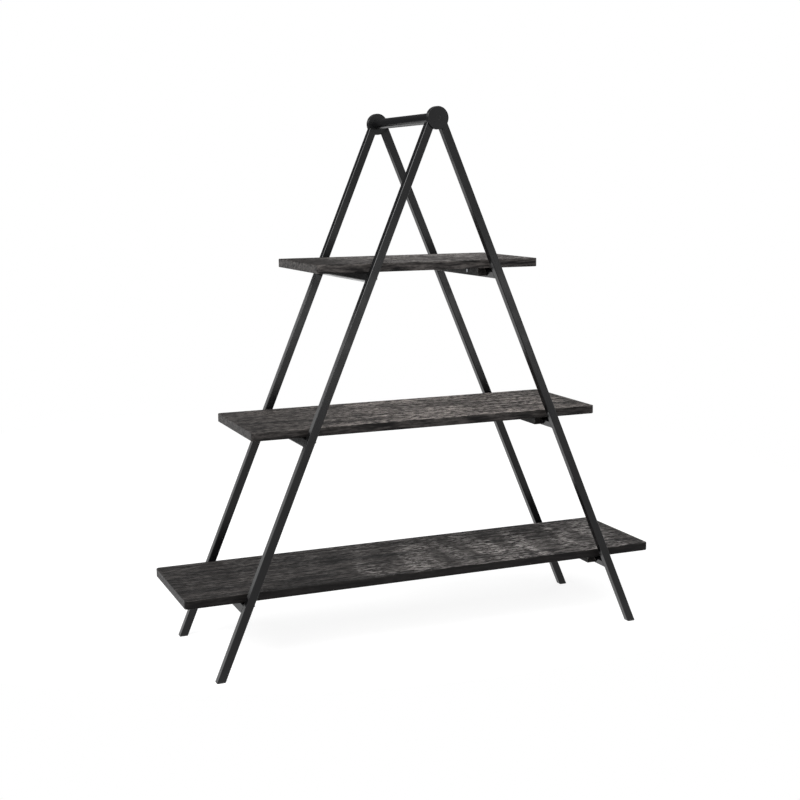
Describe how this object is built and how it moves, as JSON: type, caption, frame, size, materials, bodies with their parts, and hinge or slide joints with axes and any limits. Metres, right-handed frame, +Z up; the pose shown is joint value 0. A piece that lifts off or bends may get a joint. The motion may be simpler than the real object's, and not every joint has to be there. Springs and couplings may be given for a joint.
{
  "type": "folding a-frame shelf stand",
  "caption": "Folding A-frame shelf stand: hinged black steel ladder frames joined by a round top rail, with lift-off dark wooden boards that get longer towards the floor.",
  "frame": {"origin": "on the floor under the middle of the open stand, centred along and across it", "axes": "+Z up; +X along the boards towards the right frame's feet; +Y along the fold axis, from the front legs to the rear legs"},
  "size_m": [1.214, 0.379, 1.281],
  "materials": {
    "powder_coated_steel": "satin black powder coat",
    "dark_stained_wood": "rough-sawn, near-black stain",
    "black_plastic": "moulded, matt black",
    "zinc_plated_steel": "zinc plated"
  },
  "bodies": {
    "left_frame": {"left_front_leg": "powder_coated_steel", "left_front_knuckle": "powder_coated_steel", "left_front_foot": "black_plastic", "left_rear_leg": "powder_coated_steel", "left_rear_knuckle": "powder_coated_steel", "left_rear_foot": "black_plastic", "left_bottom_crossbar": "powder_coated_steel", "left_bottom_batten": "dark_stained_wood", "left_middle_crossbar": "powder_coated_steel", "left_middle_batten": "dark_stained_wood", "left_top_crossbar": "powder_coated_steel", "left_top_batten": "dark_stained_wood", "left_batten_screws": "zinc_plated_steel", "left_shelf_pins": "zinc_plated_steel", "top_rail": "powder_coated_steel", "front_rail_bush": "zinc_plated_steel", "rear_rail_bush": "zinc_plated_steel", "rear_hinge_pin": "powder_coated_steel", "front_lap_washer": "zinc_plated_steel", "rear_lap_washer": "zinc_plated_steel", "rail_washer": "zinc_plated_steel"},
    "right_frame": {"right_front_leg": "powder_coated_steel", "right_front_knuckle": "powder_coated_steel", "right_front_foot": "black_plastic", "right_rear_leg": "powder_coated_steel", "right_rear_knuckle": "powder_coated_steel", "right_rear_foot": "black_plastic", "right_bottom_crossbar": "powder_coated_steel", "right_bottom_batten": "dark_stained_wood", "right_middle_crossbar": "powder_coated_steel", "right_middle_batten": "dark_stained_wood", "right_top_crossbar": "powder_coated_steel", "right_top_batten": "dark_stained_wood", "right_batten_screws": "zinc_plated_steel", "right_shelf_pins": "zinc_plated_steel", "front_hinge_pin": "powder_coated_steel"},
    "bottom_shelf": {"bottom_board": "dark_stained_wood"},
    "middle_shelf": {"middle_board": "dark_stained_wood"},
    "top_shelf": {"top_board": "dark_stained_wood"}
  },
  "joints": [
    {"name": "fold_hinge", "type": "hinge", "parent": "left_frame", "child": "right_frame", "pos_m": [0, 0, 1.255], "axis": [0, 1, 0], "range_deg": [0, 38]},
    {"name": "bottom_shelf_lift", "type": "slide", "parent": "left_frame", "child": "bottom_shelf", "axis": [0, 0, 1], "range_m": [0, 0.05]},
    {"name": "middle_shelf_lift", "type": "slide", "parent": "left_frame", "child": "middle_shelf", "axis": [0, 0, 1], "range_m": [0, 0.05]},
    {"name": "top_shelf_lift", "type": "slide", "parent": "left_frame", "child": "top_shelf", "axis": [0, 0, 1], "range_m": [0, 0.05]}
  ]
}
